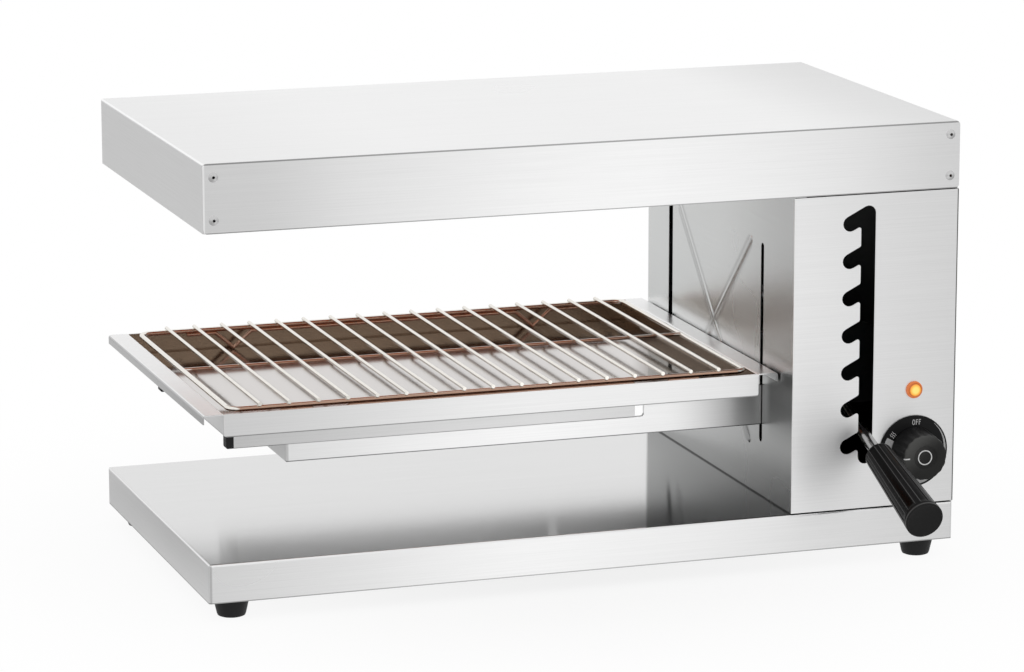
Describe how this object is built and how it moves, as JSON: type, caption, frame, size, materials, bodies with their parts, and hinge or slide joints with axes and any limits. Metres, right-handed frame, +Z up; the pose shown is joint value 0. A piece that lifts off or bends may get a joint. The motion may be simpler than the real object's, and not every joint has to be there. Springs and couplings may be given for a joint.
{
  "type": "cheese melter",
  "caption": "Bench-top overhead grill: C-shaped sheet housing, tray and grate on a fork raised by a side lever that latches in a slotted gate, with a heat control and a lamp.",
  "frame": {"origin": "on the bench, at the middle of the housing's footprint", "axes": "+X to the user's right, towards the column; +Y to the back; +Z up"},
  "size_m": [0.6014, 0.4575, 0.346],
  "materials": {
    "housing_steel": "brushed stainless steel, satin, grain along the sheet's length",
    "inner_steel": "bright annealed stainless sheet, half mirror",
    "tray_steel": "stainless steel, smooth satin",
    "bracket_steel": "plain mill-finish steel",
    "bright_steel": "ground bright steel",
    "fastener_steel": "bright zinc or stainless",
    "grate_wire": "polished stainless wire",
    "element_sheath": "heat-browned steel sheath, dull",
    "ceramic": "pale ceramic or steatite, matt",
    "slider_nylon": "natural low-friction plastic",
    "black_rubber": "matt black rubber",
    "black_plastic": "black moulded plastic, half gloss",
    "dial_print": "black disc with a grey printed wedge and a heat mark",
    "amber_lens": "translucent amber lens, lit"
  },
  "bodies": {
    "housing": {"base_shell": "housing_steel", "hood_shell": "housing_steel", "hood_front_panel": "housing_steel", "column_front_panel": "housing_steel", "column_side_panel": "housing_steel", "column_rear_panel": "housing_steel", "column_inner_wall": "inner_steel", "hood_reflector": "inner_steel", "terminal_plate": "inner_steel", "element_hangers": "inner_steel", "guide_bracket_lower": "bracket_steel", "guide_bracket_upper": "bracket_steel", "lever_bracket": "bracket_steel", "guide_rod_front": "bright_steel", "guide_rod_rear": "bright_steel", "lever_pivot_pin": "bright_steel", "foot_screws": "fastener_steel", "hood_rivets": "fastener_steel", "side_rivets": "fastener_steel", "rear_screws": "fastener_steel", "regulator_nut": "fastener_steel", "element_front": "element_sheath", "element_rear": "element_sheath", "element_terminals": "ceramic", "terminal_block": "ceramic", "energy_regulator": "ceramic", "foot_front_left": "black_rubber", "foot_front_right": "black_rubber", "foot_rear_left": "black_rubber", "foot_rear_right": "black_rubber", "buffer_front": "black_rubber", "buffer_rear": "black_rubber", "lamp_body": "black_plastic", "cable_gland": "black_plastic", "control_dial": "dial_print", "lamp_lens": "amber_lens"},
    "lever_yoke": {"lever_yoke": "bracket_steel", "swivel_pin": "bright_steel"},
    "lever": {"lever_rod": "bright_steel", "lever_grip": "black_plastic", "grip_cap": "black_plastic"},
    "carriage": {"carriage_plate": "bracket_steel", "lever_saddle": "bracket_steel", "sliders_front": "slider_nylon", "sliders_rear": "slider_nylon", "arm_front_bar": "tray_steel", "arm_rear_bar": "tray_steel", "fork_crossbar": "tray_steel"},
    "pan": {"drip_pan": "tray_steel", "runner_front": "tray_steel", "runner_rear": "tray_steel", "runner_plugs": "black_rubber"},
    "grate": {"wire_grate": "grate_wire"},
    "knob": {"regulator_shaft": "bright_steel", "knob": "black_plastic", "knob_cap": "black_plastic"}
  },
  "joints": [
    {"name": "carriage_lift", "type": "slide", "parent": "housing", "child": "carriage", "axis": [0, 0, 1], "range_m": [0, 0.105]},
    {"name": "lever_lift", "type": "hinge", "parent": "housing", "child": "lever_yoke", "pos_m": [0.225, 0.1, 0.19075], "axis": [-1, 0, 0], "range_deg": [0, 37.35]},
    {"name": "lever_latch", "type": "hinge", "parent": "lever_yoke", "child": "lever", "pos_m": [0.225, 0.07916, 0.18371], "axis": [0.4328, 0.2883, -0.8542], "range_deg": [0, 3.77]},
    {"name": "knob_turn", "type": "hinge", "parent": "housing", "child": "knob", "pos_m": [0.2655, -0.16, 0.088], "axis": [0, 1, 0], "range_deg": [-270, 45]},
    {"name": "pan_slide", "type": "slide", "parent": "carriage", "child": "pan", "axis": [-1, 0, 0], "range_m": [0, 0.12]},
    {"name": "grate_lift", "type": "slide", "parent": "pan", "child": "grate", "axis": [0, 0, 1], "range_m": [0, 0.02]}
  ],
  "couplings": [
    {"joint": "lever_lift", "follows": "carriage_lift", "rad_per_m": 6.2001}
  ]
}
